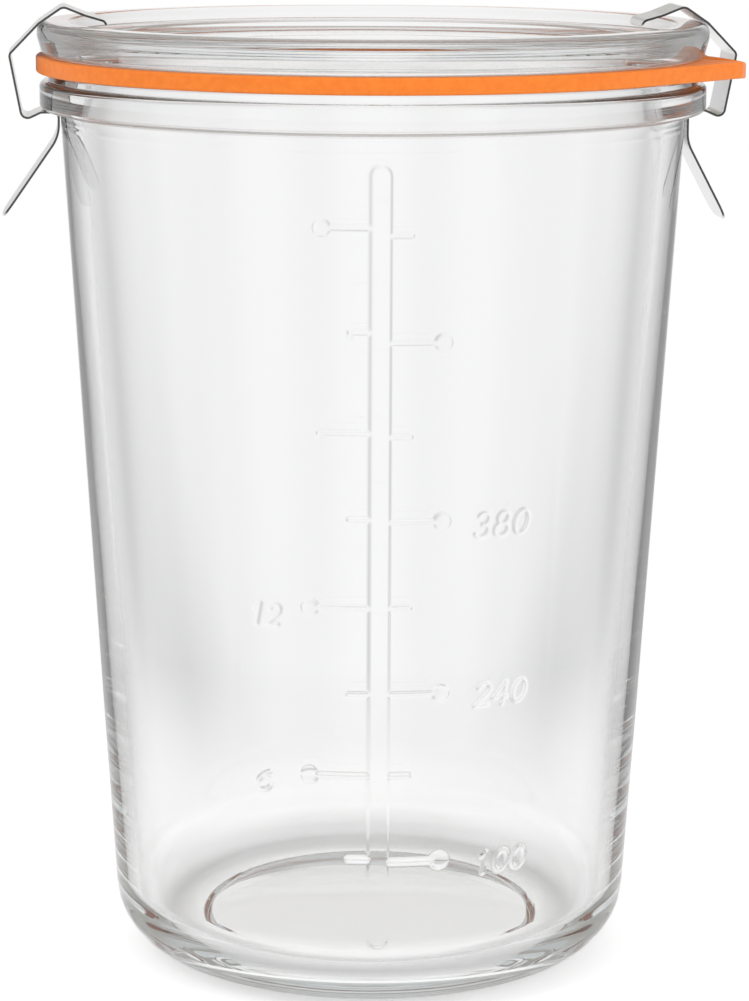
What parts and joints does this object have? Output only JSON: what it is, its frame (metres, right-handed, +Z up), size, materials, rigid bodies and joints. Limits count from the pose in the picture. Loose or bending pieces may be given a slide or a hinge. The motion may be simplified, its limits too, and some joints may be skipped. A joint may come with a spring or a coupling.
{
  "type": "glass preserving jar",
  "caption": "Tapered glass preserving jar with a raised scale, a dished glass lid, a flat rubber seal ring with a pull tab, and spring steel clamps that hold the lid shut.",
  "frame": {"origin": "on the jar's axis, at the height of its standing face", "axes": "+Z up along the jar's axis, -Y toward the raised scale, +X toward the right clamp and the pull tab"},
  "size_m": [0.1191, 0.108, 0.1558],
  "materials": {
    "glass": "clear and glossy",
    "orange_rubber": "smooth satin",
    "spring_steel": "bright satin"
  },
  "bodies": {
    "jar": {"jar": "glass", "lid": "glass", "seal_ring": "orange_rubber"},
    "right_clamp": {"right_clamp": "spring_steel"},
    "left_clamp": {"left_clamp": "spring_steel"}
  },
  "joints": [
    {"name": "right_clamp_swing", "type": "hinge", "parent": "jar", "child": "right_clamp", "pos_m": [0.05205, 0.0051, 0.1518], "axis": [0.0976, -0.9952, 0], "range_deg": [0, 15]},
    {"name": "left_clamp_swing", "type": "hinge", "parent": "jar", "child": "left_clamp", "pos_m": [-0.05205, -0.0051, 0.1518], "axis": [-0.0976, 0.9952, 0], "range_deg": [0, 15]}
  ]
}
